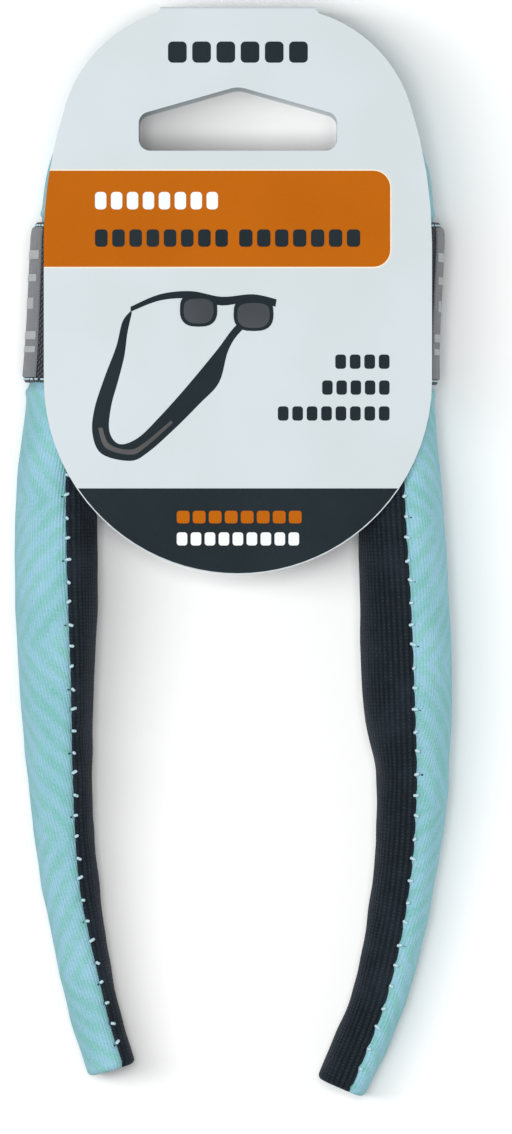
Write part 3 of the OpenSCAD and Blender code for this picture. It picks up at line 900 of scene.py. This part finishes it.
def make_fold():
    """The fold over the strap, with a rounded crease at each panel."""
    r = BOARD
    profile = [
        *arc((CREASE_Y, CARD_TOP - r), r, 90, 0, 15),
        *arc((CREASE_Y, r), r, 0, -90, 15),
    ]
    inner = [(CREASE_Y, BOARD), (CREASE_Y, CARD_TOP - BOARD)]
    loop = [*profile, *inner]
    n = len(loop)
    xs = np.linspace(-SPINE_HALF_W, SPINE_HALF_W, 11)
    points = [(x, y, z) for x in xs for y, z in loop]
    faces = [
        [i * n + j, i * n + (j + 1) % n, (i + 1) * n + (j + 1) % n, (i + 1) * n + j]
        for i in range(len(xs) - 1)
        for j in range(n)
    ]
    faces += [list(range(n))[::-1], [(len(xs) - 1) * n + j for j in range(n)]]
    piece = mesh_piece("card_fold", points, faces, CARD, smooth=False)
    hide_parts("card_spine")
    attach(piece, "card_spine")


def paint_cad():
    """Materials of the CAD nodes that stay."""
    looks = {"card_front": CARD, "card_back": CARD, "neck_foam_core": FOAM}
    looks.update({f"{side}_foam_core": FOAM for side in SIDES})
    for name, material in looks.items():
        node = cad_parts[name]
        if not node.material_slots:
            node.data.materials.append(material)
        for slot in node.material_slots:
            slot.material = material


# ---- Studio ----

# The camera's height over the card, how much of the plane of the card's top the picture's height
# shows, and the middle of that view.
CAMERA_HEIGHT = 2600
VIEW_MM = 181.7
VIEW_X, VIEW_Y = 2.9, -56.3
SENSOR = 36.0
FLOOR_HALF, FLOOR_Z = 3000, -0.1
WORLD_LIGHT = 0.21


def make_camera():
    """Straight down from far above, with VIEW_MM of the card's plane over the picture's height."""
    data = bpy.data.cameras.new("camera")
    data.sensor_fit = "VERTICAL"
    data.sensor_height = SENSOR
    data.lens = SENSOR * CAMERA_HEIGHT / VIEW_MM
    camera = bpy.data.objects.new("camera", data)
    camera.location = (VIEW_X * MM, VIEW_Y * MM, (CARD_TOP + CAMERA_HEIGHT) * MM)
    bpy.context.scene.collection.objects.link(camera)
    bpy.context.scene.camera = camera


def make_lamp(name, place, size, power, target=(0, -0.055, 0)):
    """A soft lamp that faces the strap, with its place and size in metres and its power in watts."""
    data = bpy.data.lights.new(name, "AREA")
    data.shape = "RECTANGLE"
    data.size, data.size_y = size
    data.energy = power
    lamp = bpy.data.objects.new(name, data)
    lamp.location = place
    lamp.visible_camera = False
    lamp.rotation_euler = (Vector(target) - Vector(place)).to_track_quat("-Z", "Y").to_euler()
    bpy.context.scene.collection.objects.link(lamp)


def make_studio():
    """Pale floor, even world light, a key from the left, a lamp overhead and a weak fill from the right."""
    floor_mat = Shader("studio_floor", 0.9, specular=0.1)
    floor_mat.surface.inputs["Base Color"].default_value = (0.97, 0.97, 0.97, 1)
    corners = [(x * FLOOR_HALF, y * FLOOR_HALF, FLOOR_Z) for x, y in ((-1, -1), (1, -1), (1, 1), (-1, 1))]
    floor = mesh_piece("studio_floor", corners, [[0, 1, 2, 3]], floor_mat.material, smooth=False)
    world = bpy.data.worlds.new("studio")
    bpy.context.scene.world = world
    world.use_nodes = True
    background = world.node_tree.nodes["Background"]
    background.inputs["Color"].default_value = (1, 1, 1, 1)
    background.inputs["Strength"].default_value = WORLD_LIGHT
    make_lamp("key", (-0.36, -0.02, 0.85), (0.26, 0.7), 4.9)
    make_lamp("overhead", (0.0, -0.05, 1.3), (0.3, 0.3), 7.0)
    make_lamp("fill", (0.48, -0.08, 0.12), (0.3, 0.14), 0.56)
    bpy.context.scene.view_settings.view_transform = "Standard"


make_camera()
for each_side in SIDES:
    make_strips(each_side)
    make_band(each_side)
print_card()
make_fold()
paint_cad()
make_studio()
